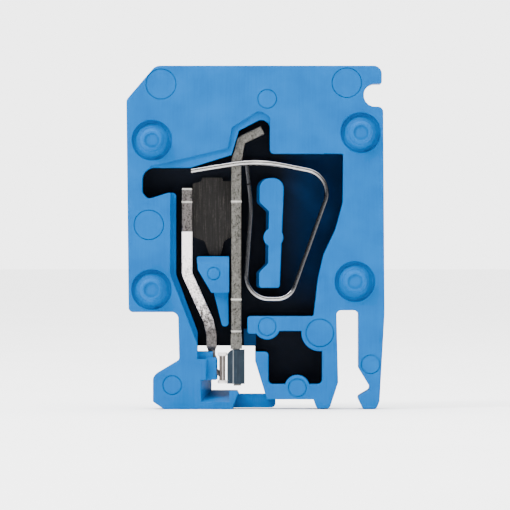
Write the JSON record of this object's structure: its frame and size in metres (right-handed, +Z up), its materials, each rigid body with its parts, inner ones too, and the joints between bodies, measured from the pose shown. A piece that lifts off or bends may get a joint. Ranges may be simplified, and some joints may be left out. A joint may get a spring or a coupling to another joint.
{
  "type": "plug-in din rail terminal block",
  "caption": "Thin plug-in terminal module with a tension clamp for one wire, a fork contact and a latch leg that snaps into a rail base.",
  "frame": {"origin": "middle of the foot's underside, half-way across the thickness", "axes": "+Z up towards the wire entry, +Y from the open side to the closed side, +X towards the latch leg"},
  "size_m": [0.0287, 0.0065, 0.0382],
  "materials": {
    "blue_polyamide": "satin moulded polyamide",
    "tinned_copper": "matt tin plate, speckled",
    "tinned_copper_dark": "rolled, lying in shade",
    "blued_steel": "dark tempered",
    "spring_steel": "rolled, bright edges"
  },
  "bodies": {
    "module": {"housing": "blue_polyamide", "current_bar": "tinned_copper", "contact_web": "tinned_copper_dark", "contact_leg": "tinned_copper", "over_spring_clip": "blued_steel", "spring_fixed_leg": "spring_steel"},
    "latch": {"latch_arm": "blue_polyamide"},
    "clamp": {"spring_loop": "spring_steel"},
    "fork_jaw": {"fork_arm": "tinned_copper", "over_spring_jaw": "spring_steel"}
  },
  "joints": [
    {"name": "clamp_open", "type": "hinge", "parent": "module", "child": "clamp", "pos_m": [0.0017, 0, 0.01435], "axis": [0, -1, 0], "range_deg": [0, 10], "stiffness_Nm_per_rad": 0.4, "springref_deg": -11.46},
    {"name": "latch_flex", "type": "hinge", "parent": "module", "child": "latch", "pos_m": [0.01295, 0, 0.0106], "axis": [0, -1, 0], "range_deg": [-3, 6], "stiffness_Nm_per_rad": 0.08},
    {"name": "fork_spread", "type": "hinge", "parent": "module", "child": "fork_jaw", "pos_m": [-0.00494, 0, 0.00925], "axis": [0, 1, 0], "range_deg": [0, 1.2], "stiffness_Nm_per_rad": 0.3, "springref_deg": -1.15}
  ]
}
